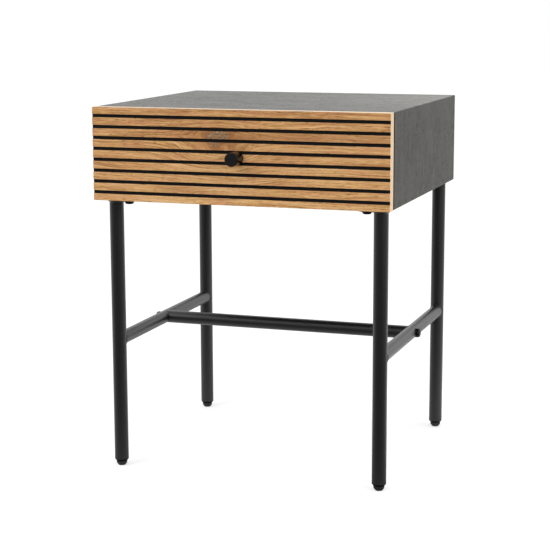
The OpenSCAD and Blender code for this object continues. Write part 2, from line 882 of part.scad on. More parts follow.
// Long windows in the middle member, through which a screwdriver reaches the case screws.
module driver_windows() {
    half_run = window_run / 2;
    half_window = window_w / 2;
    for (y = case_screw_ys) {
        box_between([0, y - half_run, -half_window], [runner_w, y + half_run, half_window]);
        for (k = [-1, 1]) rod([0, y + k * half_run, 0], "x", runner_w, window_w);
    }
}

module outer_member(s) {
    color(ZINC) difference() {
        runner_side(s) union() {
            along_y(runner_y, runner_len) outer_section();
            translate([0, runner_y + runner_len - stop_t, -stop_h / 2]) cube([inner_row_u, stop_t, stop_h]);
        }
        at_case_screws() screw_hole(case_screw_l, true);
    }
}

module middle_member(s) {
    color(ZINC) runner_side(s) difference() {
        along_y(runner_y, member_len) middle_section();
        driver_windows();
    }
}

module inner_member(s) {
    color(ZINC) difference() {
        runner_side(s) along_y(runner_y, member_len) inner_section();
        at_drawer_screws() translate([0, 0, -OVER]) screw_hole(drawer_screw_l, false);
    }
}

// The middles of the balls of one row.
function ball_spots(u, v) = [for (k = [0:ball_n - 1]) [u, cage_y + (k + 0.5) * ball_pitch, v]];

// A flat strip along a row of balls, with a hole for each.
module cage_strip(u, v, from_u, to_u) {
    difference() {
        translate([from_u, cage_y, v - cage_t / 2]) cube([to_u - from_u, cage_len, cage_t]);
        for (p = ball_spots(u, v)) translate(p) cylinder(h = 2 * ball_d, r = race_r, center = true);
    }
}

module outer_cage(s) {
    color(ZINC) runner_side(s) for (k = [-1, 1])
        cage_strip(outer_row_u, k * outer_row_v, outer_row_u - cage_reach, outer_row_u + race_r + cage_edge);
}

module inner_cage(s) {
    color(ZINC) runner_side(s) for (k = [-1, 1])
        cage_strip(inner_row_u, k * inner_row_v, inner_row_u - race_r + cage_edge, inner_row_u + cage_reach);
}

module balls(s, u, v) {
    color(BALL_STEEL) runner_side(s)
        for (k = [-1, 1], p = ball_spots(u, k * v)) translate(p) sphere(d = ball_d);
}

module runner_case_screws() {
    color(ZINC) at_case_screws() flat_screw(case_screw_l);
}

module runner_drawer_screws() {
    color(ZINC) at_drawer_screws() pan_screw(drawer_screw_l);
}

// ---- Nodes ----

top_panel();
side_panel(-1);  // left_side_panel
side_panel(1);  // right_side_panel
bottom_panel();
back_panel();
mitre_dowels();
back_panel_screws();
leg(-1, -1);  // front_left_leg
leg(1, -1);  // front_right_leg
leg(-1, 1);  // back_left_leg
leg(1, 1);  // back_right_leg
plate(-1, -1);  // front_left_plate
plate(1, -1);  // front_right_plate
plate(-1, 1);  // back_left_plate
plate(1, 1);  // back_right_plate
side_rail(-1);  // left_rail
side_rail(1);  // right_rail
cross_rail();
rail_end_nuts();
rail_bolts();
saddle_washers();
plate_bolts();
threaded_inserts();
leg_end_plugs();
foot(-1, -1);  // front_left_foot
foot(1, -1);  // front_right_foot
foot(-1, 1);  // back_left_foot
foot(1, 1);  // back_right_foot
stud(-1, -1);  // front_left_stud
stud(1, -1);  // front_right_stud
stud(-1, 1);  // back_left_stud
stud(1, 1);  // back_right_stud
drawer_front();
knob();
knob_screw();
front_screws();
buffer_pads();
box_front_board();
box_back_board();
box_side_board(-1);  // box_left_board
box_side_board(1);  // box_right_board
box_bottom();
box_dowels();
outer_member(-1);  // left_outer_member
outer_member(1);  // right_outer_member
middle_member(-1);  // left_middle_member
middle_member(1);  // right_middle_member
inner_member(-1);  // left_inner_member
inner_member(1);  // right_inner_member
outer_cage(-1);  // left_outer_cage
outer_cage(1);  // right_outer_cage
inner_cage(-1);  // left_inner_cage
inner_cage(1);  // right_inner_cage
balls(-1, outer_row_u, outer_row_v);  // left_outer_balls
balls(1, outer_row_u, outer_row_v);  // right_outer_balls
balls(-1, inner_row_u, inner_row_v);  // left_inner_balls
balls(1, inner_row_u, inner_row_v);  // right_inner_balls
runner_case_screws();
runner_drawer_screws();
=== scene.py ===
import json
import math
from typing import NamedTuple

import bpy
from mathutils import Matrix, Vector


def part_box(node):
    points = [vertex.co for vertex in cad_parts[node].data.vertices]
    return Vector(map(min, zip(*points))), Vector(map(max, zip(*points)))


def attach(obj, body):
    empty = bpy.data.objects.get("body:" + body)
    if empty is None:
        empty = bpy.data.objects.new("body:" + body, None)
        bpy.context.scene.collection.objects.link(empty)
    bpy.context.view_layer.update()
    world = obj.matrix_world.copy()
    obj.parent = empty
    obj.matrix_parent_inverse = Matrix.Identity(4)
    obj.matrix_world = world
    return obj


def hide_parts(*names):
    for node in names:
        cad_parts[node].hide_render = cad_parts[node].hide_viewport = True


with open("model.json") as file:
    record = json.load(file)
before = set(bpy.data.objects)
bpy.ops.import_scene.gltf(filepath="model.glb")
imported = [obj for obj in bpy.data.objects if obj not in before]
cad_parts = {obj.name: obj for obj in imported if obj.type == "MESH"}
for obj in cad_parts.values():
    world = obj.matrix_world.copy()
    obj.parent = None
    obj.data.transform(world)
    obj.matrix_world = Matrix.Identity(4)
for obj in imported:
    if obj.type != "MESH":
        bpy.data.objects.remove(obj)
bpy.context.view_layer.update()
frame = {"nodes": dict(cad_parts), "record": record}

# ---- Sizes, in metres ----

MM = 0.001
FRONT_LOW, FRONT_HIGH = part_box("drawer_front")
TOP_LOW, TOP_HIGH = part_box("top_panel")
HALF_WIDTH, TABLE_TOP = FRONT_HIGH.x, FRONT_HIGH.z
GROOVES = 8
GROOVE_WIDTH, GROOVE_DEPTH, GROOVE_PITCH = 4.4 * MM, 1.4 * MM, 16 * MM
FIRST_GROOVE_Z = (FRONT_LOW.z + FRONT_HIGH.z - (GROOVES - 1) * GROOVE_PITCH) / 2

# ---- Camera ----

CAMERA_PLACE = Vector((0.7657, -2.2835, 0.7117))
CAMERA_TURN, CAMERA_TILT, CAMERA_ROLL = 0.327, 0.1775, -0.003
CAMERA_LENS, CAMERA_SENSOR = 102.6, 36.0
CAMERA_NEAREST, CAMERA_FARTHEST = 0.05, 60

# ---- Node trees ----

# Sockets of the Mix node when it mixes colours.
MIX_FACTOR, MIX_FIRST, MIX_SECOND, MIX_RESULT = 0, 6, 7, 2


class Value:
    """A number, colour or vector in a node tree. Arithmetic on it adds Math nodes."""

    def __init__(self, tree, socket):
        self.tree, self.socket = tree, socket

    def out(self, name):
        """Another output of the node that this value comes from."""
        return Value(self.tree, self.socket.node.outputs[name])

    def math(self, operation, *others):
        return self.tree.math(operation, self, *others)

    def __add__(self, other):
        return self.math("ADD", other)

    def __sub__(self, other):
        return self.math("SUBTRACT", other)

    def __mul__(self, other):
        return self.math("MULTIPLY", other)

    def __truediv__(self, other):
        return self.math("DIVIDE", other)

    def __pow__(self, other):
        return self.math("POWER", other)

    def __abs__(self):
        return self.math("ABSOLUTE")

    def __rsub__(self, other):
        return self.tree.math("SUBTRACT", other, self)

    __radd__, __rmul__ = __add__, __mul__

    def ease(self, low, high, to_low=0.0, to_high=1.0):
        """A smooth step from to_low, below low, to to_high, above high."""
        return self.tree.node(
            "ShaderNodeMapRange",
            {"interpolation_type": "SMOOTHSTEP"},
            {"Value": self, "From Min": low, "From Max": high, "To Min": to_low, "To Max": to_high},
        )


class Tree:
    """A node tree under construction."""

    def __init__(self, nodes):
        self.nodes = nodes
        nodes.nodes.clear()

    def node(self, kind, settings=None, sockets=None, out=0):
        """Adds a node: its settings first, then the values or links of its sockets."""
        made = self.nodes.nodes.new(kind)
        for name, value in (settings or {}).items():
            if name == "stops":
                ramp = made.color_ramp
                while len(ramp.elements) < len(value):
                    ramp.elements.new(1.0)
                for element, (place, colour) in zip(ramp.elements, value):
                    element.position, element.color = place, colour
            else:
                setattr(made, name, value)
        for name, value in (sockets or {}).items():
            for one in value if isinstance(value, list) else [value]:
                if isinstance(one, Value):
                    self.nodes.links.new(one.socket, made.inputs[name])
                else:
                    made.inputs[name].default_value = one
        return Value(self, made.outputs[out]) if made.outputs else made

    def math(self, operation, *values):
        return self.node("ShaderNodeMath", {"operation": operation}, dict(enumerate(values)))

    def vector(self, x, y, z):
        return self.node("ShaderNodeCombineXYZ", {}, {"X": x, "Y": y, "Z": z})

    def split(self, vector):
        parts = self.node("ShaderNodeSeparateXYZ", {}, {"Vector": vector})
        return parts, parts.out("Y"), parts.out("Z")

    def mix(self, factor, first, second):
        """The first colour where the factor is 0, the second where it is 1."""
        return self.node(
            "ShaderNodeMix",
            {"data_type": "RGBA"},
            {MIX_FACTOR: factor, MIX_FIRST: first, MIX_SECOND: second},
            MIX_RESULT,
        )


def srgb(red, green, blue):
    """A colour given as 0 to 255 screen values, made linear."""
    return tuple(((v / 255 + 0.055) / 1.055) ** 2.4 for v in (red, green, blue)) + (1.0,)


class Finish(Tree):
    """A material. Its patterns are laid out in millimetres on the table's own axes."""

    def __init__(self, name):
        self.material = bpy.data.materials.new(name)
        self.material.use_nodes = True
        super().__init__(self.material.node_tree)
        coords = self.node("ShaderNodeTexCoord", out="Object")
        in_mm = self.node("ShaderNodeMapping", {"vector_type": "POINT"}, {
            "Vector": coords, "Scale": (1 / MM,) * 3,
        })
        self.x, self.y, self.z = self.split(in_mm)
        self.nx, self.ny, self.nz = self.split(coords.out("Normal"))

    def noise(self, vector, detail=2.0, rough=0.5, warp=0.0):
        """Smooth noise from 0 to 1 with features about one unit of the vector across."""
        return self.node("ShaderNodeTexNoise", {"noise_dimensions": "3D"}, {
            "Vector": vector, "Scale": 1.0, "Detail": detail, "Roughness": rough,
            "Distortion": warp,
        })

    def grain(self, along, across, length, width, seed, detail=2.0, rough=0.5):
        """Noise drawn out into streaks of that length and width."""
        return self.noise(self.vector(along / length, across / width, seed), detail, rough)

    def clouds(self, size, detail=2.0, rough=0.5, warp=0.0):
        """Noise with features of that size: a number, or one for each axis."""
        size_x, size_y, size_z = size if isinstance(size, tuple) else (size, size, size)
        place = self.vector(self.x / size_x, self.y / size_y, self.z / size_z)
        return self.noise(place, detail, rough, warp)

    def ramp(self, factor, stops):
        """The colours of the stops, run through by the factor."""
        return self.node("ShaderNodeValToRGB", {"stops": stops}, {"Fac": factor})

    def surface(
        self, colour, roughness, relief=None, relief_mm=0.05, metallic=0.0, specular=0.5, **fixed
    ):
        """Ends the material in a Principled shader, with relief as its bump."""
        sockets = {
            "Base Color": colour, "Roughness": roughness, "Metallic": metallic,
            "Specular IOR Level": specular, **fixed,
        }
        if relief is not None:
            sockets["Normal"] = self.node("ShaderNodeBump", {}, {
                "Height": relief, "Strength": 1.0, "Distance": relief_mm * MM,
            })
        shader = self.node("ShaderNodeBsdfPrincipled", {}, sockets)
        self.node("ShaderNodeOutputMaterial", {}, {"Surface": shader})
        return self.material


# ---- Oak ----

# Colours of the natural veneer.
OAK_TONES = [
    (0.24, srgb(166, 113, 66)), (0.4, srgb(202, 150, 95)),
    (0.54, srgb(224, 172, 112)), (0.76, srgb(242, 197, 140)),
]
ROSY_OAK, GOLDEN_OAK = srgb(217, 152, 104), srgb(217, 170, 94)
LATE_WOOD, OAK_STREAK, OAK_PORE = srgb(160, 104, 58), srgb(166, 110, 62), srgb(112, 74, 42)
LIPPING_DARK, LIPPING_LIGHT = srgb(251, 210, 168), srgb(255, 228, 192)
# A lighter colour for the lipping's top and underside: a painted highlight.
LEVEL_LIPPING_HIGHLIGHT = srgb(255, 240, 216)
GROOVE_PAINT = srgb(8, 8, 8)

# Colours of the knot, from its core outwards.
CORE_TONES = [
    (0.36, srgb(88, 66, 42)), (0.46, srgb(136, 105, 72)),
    (0.57, srgb(170, 139, 106)), (0.66, srgb(222, 203, 180)),
]
CORE_BLOTCH, KNOT_BARK = srgb(158, 112, 66), srgb(146, 92, 48)
RING_DARK, RING_LIGHT = srgb(148, 92, 48), srgb(220, 170, 112)
KNOT_STAIN, KNOT_STREAK = srgb(168, 112, 62), srgb(158, 102, 58)

# Colours of the black-stained veneer.
STAIN_TONES = [(0.24, srgb(44, 42, 38)), (0.5, srgb(63, 61, 56)), (0.76, srgb(86, 83, 77))]
STAIN_CLOUD, STAIN_FLECK = srgb(79, 77, 71), srgb(24, 23, 21)
STAINED_LINE, STAINED_PORE = srgb(42, 41, 36), srgb(24, 24, 22)
# Painted shade for the gap behind the drawer front, on the case's front edges.
GAP_SHADE_BLACK = srgb(12, 12, 12)


class Knot(NamedTuple):
    """Where the grain flows round something, in millimetres along and across the grain."""

    along: float
    across: float
    reach_along: float
    reach_below: float
    reach_above: float
    pull: float


FRONT_SEED, CASE_SEED, BOTTOM_SEED = 4.0, 50.0, 64.0
FRONT_KNOT = Knot(-31.0, 509.0, 70.0, 44.0, 19.0, 1.1)
CASE_KNOTS = [
    Knot(300.0, -40.0, 60.0, 34.0, 34.0, 0.7), Knot(352.0, 118.0, 76.0, 60.0, 40.0, 0.9),
    Knot(-80.0, 120.0, 120.0, 50.0, 40.0, 0.6), Knot(-300.0, 60.0, 70.0, 46.0, 60.0, 0.7),
]

# The front knot's core, in millimetres: its half width at the knot's height, and what that gains
# for each millimetre up, between two limits. Then its reach above and below that height, and how
# far it lies to the right, at that height and more for each millimetre up.
CORE_HALF_WIDTH, CORE_WIDENING, CORE_NARROWEST, CORE_WIDEST = 17.5, 0.75, 9.0, 26.0
CORE_ABOVE, CORE_BELOW = 12.5, 14.5
CORE_RIGHT, CORE_LEAN = 0.5, 0.25

# The reach of the brown stain round it, in millimetres, and how close its rings are.
STAIN_ALONG, STAIN_ACROSS = 74.0, 21.0
RING_RATE = 5.2
# The brown streak beside it, in millimetres: its height above the knot's, its half width, where
# it sets in to the right of the knot, and where on the board it fades.
STREAK_ABOVE, STREAK_HALF_WIDTH = 2.5, 10
STREAK_SETS_IN, STREAK_FADES = (-20, 40), (80, 230)

# The paint in a groove, in millimetres: the depths at which it starts and is full, and how far
# past the groove's floor and past its corners it is still full and has ended.
PAINT_STARTED, PAINT_FULL = 0.01, 0.08
FLOOR_FULL, FLOOR_ENDED = 0.2, 0.35
CORNER_FULL, CORNER_ENDED = 0.25, 0.4

# The painted shade along the case's front edges, standing for the shadow in the gap behind the
# drawer front, is full, and has ended, this many millimetres back on the sides.
GAP_SHADE_FULL, GAP_SHADE_ENDED = 2.5, 3.1

# The width of a year's growth, and how far growth lines wander and ripple, in millimetres. Then
# how far they drift from that width, in years.
YEAR_WIDTH, LINES_WANDER, LINES_RIPPLE = 5.2, 34, 3
YEARS_DRIFT = 3.5


def oak_lines(f, along, across, seed, knots):
    """Growth lines: the distance across the grain, made to wander and to flow round knots."""
    wander = f.grain(along, across, 230, 80, seed, 1.0) - 0.5
    ripple = f.grain(along, across, 60, 17, seed + 3.0, 1.0) - 0.5
    lines = across + wander * LINES_WANDER + ripple * LINES_RIPPLE
    for knot in knots:
        u = (along - knot.along) / knot.reach_along
        off = across - knot.across
        above, below = off.math("MAXIMUM", 0.0), off.math("MINIMUM", 0.0)
        v = above / knot.reach_above + below / knot.reach_below
        square = u * u + v * v
        lines = lines - off * knot.pull / (1 + square * square)
    return lines


def oak_figure(f, along, across, seed, knots):
    """The figure of an oak veneer: its tone, about 0.5, its late wood lines, pores and streaks."""
    lines = oak_lines(f, along, across, seed, knots)
    rings = f.grain(along, lines, 420, 6.5, seed + 7.0, 3.0, 0.6) - 0.5
    stripes = f.grain(along, lines, 150, 2.2, seed + 11.0, 2.0, 0.6) - 0.5
    dashes = f.grain(along, lines, 18, 1.2, seed + 13.0, 2.0, 0.6) - 0.5
    broad = f.grain(along, across, 90, 30, seed + 17.0, 1.0) - 0.5
    tone = rings * 0.65 + stripes * 0.95 + dashes * 0.9 + broad * 0.35 + 0.505
    # Each year's growth ends in a narrow dark line, stronger in some places than in others.
    drift = f.grain(along, lines, 200, 15, seed + 19.0, 1.0) * YEARS_DRIFT
    year = lines / YEAR_WIDTH + drift
    into_year = year - year.math("FLOOR")
    late = into_year.ease(0.45, 0.86) * into_year.ease(0.88, 0.99, 1.0, 0.0)
    late = late * f.grain(along, lines, 60, 11, seed + 21.0, 2.0).ease(0.4, 0.62)
    pores = f.grain(along, lines, 10, 0.9, seed + 23.0, 1.0).ease(0.6, 0.67)
    pores = pores * rings.ease(-0.08, 0.1, 1.0, 0.45)
    streaks = f.grain(along, lines, 42, 1.3, seed + 29.0, 1.0).ease(0.58, 0.7)
    return tone, late, pores, streaks


def knot_core(f):
    """A closed knot: grey-brown wood, cracked and mottled, whatever the grain round it does."""
    mottle = f.noise(f.vector(f.x / 3.4, f.z / 2.4, 9.0), 4.0, 0.75)
    blotch = f.noise(f.vector(f.x / 9, f.z / 7, 21.0), 3.0, 0.6)
    return f.mix(blotch.ease(0.44, 0.56, 0.0, 0.65), f.ramp(mottle, CORE_TONES), CORE_BLOTCH)


def with_knot(f, veneer):
    """The veneer with its knot: a core, rings that fade outwards, a stain along the grain."""
    rim = f.noise(f.vector(f.x / 6, f.z / 5, 2.0), 3.0, 0.6) - 0.5
    right, over = f.x - FRONT_KNOT.along, f.z - FRONT_KNOT.across
    half_width = (CORE_HALF_WIDTH + over * CORE_WIDENING).math("MAXIMUM", CORE_NARROWEST)
    out_x = (right - CORE_RIGHT - over * CORE_LEAN) / half_width.math("MINIMUM", CORE_WIDEST)
    out_z = over.math("MAXIMUM", 0.0) / CORE_ABOVE + over.math("MINIMUM", 0.0) / CORE_BELOW
    far = (out_x * out_x + out_z * out_z) ** 0.5 + rim * 0.7
    on_face = f.ny.ease(-0.6, -0.2, 1.0, 0.0)

    wide_x, wide_z = right / STAIN_ALONG, over / STAIN_ACROSS
    stain = (wide_x * wide_x + wide_z * wide_z) ** 0.5 + rim * 0.5
    veneer = f.mix(stain.ease(0.3, 1.1, 0.55, 0.0) * on_face, veneer, KNOT_STAIN)
    # A brown streak follows the grain from the knot towards the board's right end.
    beside = right.ease(*STREAK_SETS_IN) * f.x.ease(*STREAK_FADES, 1.0, 0.5)
    off = abs((over - STREAK_ABOVE) / STREAK_HALF_WIDTH + rim * 0.7)
    streak = off.ease(0.4, 1.1, beside * 0.42, 0.0)
    veneer = f.mix(streak * on_face, veneer, KNOT_STREAK)

    rings = f.noise(f.vector(far * RING_RATE, 0.5, 40.0), 2.0, 0.6)
    near = far.ease(1.0, 2.6, 1.0, 0.0) * on_face
    veneer = f.mix(rings.ease(0.5, 0.62) * near * 0.6, veneer, RING_DARK)
    veneer = f.mix(rings.ease(0.36, 0.46, 1.0, 0.0) * near * 0.4, veneer, RING_LIGHT)
    bark = far.ease(0.85, 1.05) * far.ease(1.1, 1.5, 1.0, 0.0)
    veneer = f.mix(bark * on_face * 0.5, veneer, KNOT_BARK)
    return f.mix(far.ease(0.76, 1.0, 1.0, 0.0) * on_face, veneer, knot_core(f))


def with_lipping(f, veneer, middle, half_height):
    """The veneer with solid lipping on the ends, the top and the underside, grain lengthwise; the
    top and underside are painted lighter than the ends, a painted highlight.
    """
    is_end = abs(f.nx).ease(0.8, 0.95)
    at_level = abs(f.z - middle).ease(half_height - 1, half_height - 0.5)
    is_level = abs(f.nz).ease(0.8, 0.95) * at_level
    end_grain = f.grain(f.z, f.y, 40, 0.9, 41.0, 3.0)
    level_grain = f.grain(f.x, f.y, 60, 0.9, 43.0, 3.0)
    lipping = f.mix(f.mix(is_end, level_grain, end_grain), LIPPING_DARK, LIPPING_LIGHT)
    # Painted highlight: the top and underside of the lipping are painted lighter than its ends.
    lipping = f.mix(is_level * 0.7, lipping, LEVEL_LIPPING_HIGHLIGHT)
    return f.mix(f.math("MAXIMUM", is_end, is_level), veneer, lipping)


def groove_paint(f):
    """1 where the black paint of the grooves is, up to their corners."""
    pitch, half_width, floor = GROOVE_PITCH / MM, GROOVE_WIDTH / MM / 2, GROOVE_DEPTH / MM
    groove = (f.z - FIRST_GROOVE_Z / MM) / pitch
    from_groove = abs(groove - groove.math("ROUND")) * pitch
    depth = f.y - FRONT_LOW.y / MM
    paint = depth.ease(PAINT_STARTED, PAINT_FULL)
    paint = paint * depth.ease(floor + FLOOR_ENDED, floor + FLOOR_FULL)
    return paint * from_groove.ease(half_width + CORNER_ENDED, half_width + CORNER_FULL)


def oak_front():
    """Natural oak veneer on the slats, pale lipping round the edges, black grooves."""
    f = Finish("oak_slats")
    top, bottom = TABLE_TOP / MM, FRONT_LOW.z / MM
    middle, half_height = (top + bottom) / 2, (top - bottom) / 2
    tone, late, pores, streaks = oak_figure(f, f.x, f.z, FRONT_SEED, [FRONT_KNOT])

    # Paler towards the bottom of the board than at its top.
    tone = tone + (f.z - middle) / (bottom - top) * 0.18 + 0.005
    veneer = f.ramp(tone, OAK_TONES)
    # Rosy and golden patches along the grain.
    rosy = f.grain(f.x, f.z, 70, 7, 31.0, 3.0)
    golden = f.grain(f.x, f.z, 90, 8, 35.0, 3.0)
    veneer = f.mix(rosy.ease(0.45, 0.62, 0.0, 0.45), veneer, ROSY_OAK)
    veneer = f.mix(golden.ease(0.5, 0.65, 0.0, 0.3), veneer, GOLDEN_OAK)
    veneer = f.mix(late * 0.46, veneer, LATE_WOOD)
    veneer = f.mix(streaks * 0.4, veneer, OAK_STREAK)
    veneer = f.mix(pores * 0.75, veneer, OAK_PORE)

    veneer = with_knot(f, veneer)
    colour = with_lipping(f, veneer, middle, half_height)
    paint = groove_paint(f)
    colour = f.mix(paint, colour, GROOVE_PAINT)
    rough = 0.52 + pores * 0.2 - tone * 0.08 + paint * 0.3
    relief = tone * 0.4 - pores * 0.8 - late * 0.3
    return f.surface(colour, rough, relief * (1 - paint), 0.06, specular=0.3)


def stained_oak(name, along, across, seed):
    """Black-stained oak veneer. along(f) and across(f) give the grain's run on this board."""
    f = Finish(name)
    u, v = along(f), across(f)
    tone, late, pores, streaks = oak_figure(f, u, v, seed, CASE_KNOTS)
    cloud = f.clouds(52, 3.0, 0.6)
    stain = f.mix(cloud.ease(0.4, 0.62, 0.0, 0.7), f.ramp(tone, STAIN_TONES), STAIN_CLOUD)
    # Short dark flecks, in patches.
    fleck = f.grain(u, v, 5, 1.6, seed + 37.0, 1.0).ease(0.6, 0.7)
    fleck = fleck * f.grain(u, v, 50, 40, seed + 41.0, 1.0).ease(0.46, 0.58)
    stain = f.mix(fleck * 0.8, stain, STAIN_FLECK)
    stain = f.mix(late * 0.4, stain, STAINED_LINE)
    stain = f.mix(streaks * 0.4, stain, STAINED_LINE)
    stain = f.mix(pores * 0.7, stain, STAINED_PORE)
    # The narrow edges that face the drawer front, and a strip of the sides next to them, are
    # painted black: painted shade for the gap behind the drawer front, which shows as a line on the
    # sides.
    edge = TOP_LOW.y / MM
    gap_shade = f.y.ease(edge + GAP_SHADE_FULL, edge + GAP_SHADE_ENDED, 1.0, 0.0) * abs(f.nx).ease(0.5, 0.8)
    gap_shade = f.math("MAXIMUM", gap_shade, f.ny.ease(-0.6, -0.3, 1.0, 0.0))
    stain = f.mix(gap_shade, stain, GAP_SHADE_BLACK)
    rough = 0.25 + (pores + fleck) * 0.25 + late * 0.06 + cloud * 0.1 - tone * 0.04 + gap_shade * 0.6
    return f.surface(stain, rough, tone * 0.5 - pores - late * 0.4, 0.05, specular=0.06)


# ---- Inside boards and back ----

BIRCH_DARK, BIRCH_LIGHT, BIRCH_FLAME = srgb(206, 172, 128), srgb(230, 204, 164), srgb(238, 216, 182)
PLY_LIGHT, PLY_DARK, PLY_SPECK = srgb(214, 182, 138), srgb(150, 108, 68), srgb(120, 84, 52)
BEECH_DARK, BEECH_LIGHT = srgb(190, 146, 104), srgb(222, 184, 142)
FIBRE_DARK, FIBRE_LIGHT, FIBRE_CLOUD = srgb(36, 35, 34), srgb(60, 59, 57), srgb(66, 64, 61)

# For plywood whose layers are stacked along an axis, the axes along and across its face grain.
PLY_GRAIN = {"x": ("y", "z"), "y": ("x", "z"), "z": ("y", "x")}
# How far its face grain wanders, in millimetres.
PLY_WANDER = 18


def birch_ply(name, axis, layers, lowest, highest):
    """Birch plywood whose layers are stacked along one axis, from lowest to highest."""
    f = Finish(name)
    stack, normal = getattr(f, axis), getattr(f, f"n{axis}")
    along, across = (getattr(f, other) for other in PLY_GRAIN[axis])
    wander = f.grain(along, across, 120, 50, 5.0, 1.0) - 0.5
    face = f.grain(along, across + wander * PLY_WANDER, 90, 2.4, 8.0, 4.0, 0.6)
    flame = f.grain(along, across, 30, 26, 12.0, 2.0)
    colour = f.mix(face.ease(0.3, 0.7), BIRCH_DARK, BIRCH_LIGHT)
    colour = f.mix(flame.ease(0.4, 0.8, 0.0, 0.35), colour, BIRCH_FLAME)
    # Cut edges show every other layer as dark end grain.
    layer = (highest - lowest) / MM / layers
    pair = (stack - lowest / MM) / layer / 2
    odd = pair - pair.math("FLOOR")
    dark = odd.ease(0.47, 0.5) * odd.ease(0.97, 1.0, 1.0, 0.0)
    speck = f.clouds(0.8, 3.0, 0.7)
    edge = f.mix(dark, PLY_LIGHT, PLY_DARK)
    edge = f.mix(speck.ease(0.4, 0.7, 0.0, 0.35), edge, PLY_SPECK)
    colour = f.mix(abs(normal).ease(0.3, 0.6, 1.0, 0.0), colour, edge)
    return f.surface(colour, 0.42 + face * 0.12, face * 0.5 + speck * 0.3, 0.04)


def plain_beech():
    f = Finish("beech_dowel")
    flecks = f.clouds((3, 0.6, 0.6), 3.0, 0.6)
    colour = f.mix(flecks, BEECH_DARK, BEECH_LIGHT)
    return f.surface(colour, 0.6 + flecks * 0.1, flecks, 0.05)


def fibreboard():
    """Black-dyed fibreboard: short tangled fibres under a thin matt sealer."""
    f = Finish("black_fibreboard")
    fibre = f.clouds((1.4, 1.4, 0.5), 4.0, 0.7, 0.6)
    colour = f.mix(fibre, FIBRE_DARK, FIBRE_LIGHT)
    colour = f.mix(f.clouds(45).ease(0.4, 0.7, 0.0, 0.3), colour, FIBRE_CLOUD)
    return f.surface(colour, 0.68 + fibre * 0.14, fibre, 0.06)


# ---- Metal, plastic and rubber ----

POWDER_DARK, POWDER_LIGHT = srgb(9, 9, 10), srgb(14, 14, 15)
# The knob's face colours are painted lighter than its side's, as a painted highlight on the face.
KNOB_LIT_FACE_DARK, KNOB_LIT_FACE_LIGHT = srgb(21, 21, 22), srgb(31, 30, 31)
KNOB_SIDE_DARK, KNOB_SIDE_LIGHT = srgb(5, 5, 5), srgb(10, 10, 10)
OXIDE_DARK, OXIDE_LIGHT = srgb(8, 8, 9), srgb(15, 15, 16)
PLASTIC_DARK, PLASTIC_LIGHT = srgb(24, 24, 25), srgb(36, 36, 37)
# The plugs' colours are painted darker than the other black plastic, as painted shade on the collar
# at the tube's end.
PLUG_SHADE_DARK, PLUG_SHADE_LIGHT = srgb(3, 3, 3), srgb(7, 7, 7)
# The first of these is painted shade, laid on the plastic near the floor.
PLASTIC_FLOOR_SHADE, PLASTIC_SCUFF = srgb(8, 8, 8), srgb(58, 57, 55)
RUNNER_DARK, RUNNER_LIGHT = srgb(168, 172, 178), srgb(192, 196, 202)
SCREW_DARK, SCREW_LIGHT = srgb(160, 164, 168), srgb(190, 192, 196)
ZINC_ROLLED = srgb(214, 218, 224)
BALL_DARK, BALL_LIGHT = srgb(206, 208, 212), srgb(226, 228, 230)
RUBBER_DARK, RUBBER_LIGHT = srgb(212, 212, 206), srgb(232, 232, 228)


def powder_coat():
    """Black powder coat: a fine orange peel with a soft sheen."""
    f = Finish("black_powder_coat")
    peel = f.clouds(0.9, 3.0, 0.6)
    cloud = f.clouds((38, 38, 70))
    colour = f.mix(cloud, POWDER_DARK, POWDER_LIGHT)
    sheen = {"Coat Weight": 0.8, "Coat Roughness": 0.45}
    return f.surface(colour, 0.34 + peel * 0.06 + cloud * 0.06, peel, 0.03, specular=0.3, **sheen)


def satin_black():
    """The knob: black lacquer over turned metal, duller on the face than round the side; the face
    is painted lighter than the side, a painted highlight.
    """
    f = Finish("satin_black_knob")
    rings = f.noise(f.vector(f.y / 0.35, 0.0, 0.0), 2.0)
    smudge = f.clouds(7, 3.0, 0.6)
    is_side = f.ny.ease(-0.95, -0.8)
    # Painted highlight: the face is painted lighter than the side.
    lit_face_colour = f.mix(smudge, KNOB_LIT_FACE_DARK, KNOB_LIT_FACE_LIGHT)
    colour = f.mix(is_side, lit_face_colour, f.mix(smudge, KNOB_SIDE_DARK, KNOB_SIDE_LIGHT))
    return f.surface(colour, 0.3 - is_side * 0.14 + smudge * 0.12, rings, 0.01, specular=0.2)


def black_oxide():
    f = Finish("black_oxide_steel")
    grit = f.clouds(0.5, 3.0, 0.7)
    colour = f.mix(f.clouds(5), OXIDE_DARK, OXIDE_LIGHT)
    return f.surface(colour, 0.28 + grit * 0.14, grit, 0.02, specular=0.25)


def moulded_plastic(name, dark, light, shine):
    """Moulded nylon: a fine spark, light scuffs, duller where it meets the floor, and painted shade
    there that darkens it.
    """
    f = Finish(name)
    spark = f.clouds(0.35)
    scuff = f.grain(f.x + f.y, f.z, 6, 0.4, 3.0, 3.0)
    low = f.z.ease(0.0, 2.5, 1.0, 0.0)
    # Painted shade: darker within 2.5 mm of the floor.
    colour = f.mix(low * 0.8, f.mix(spark, dark, light), PLASTIC_FLOOR_SHADE)
    colour = f.mix(scuff.ease(0.55, 0.75) * 0.3, colour, PLASTIC_SCUFF)
    return f.surface(colour, 0.42 + spark * 0.12 + low * 0.2, spark, 0.02, specular=shine)


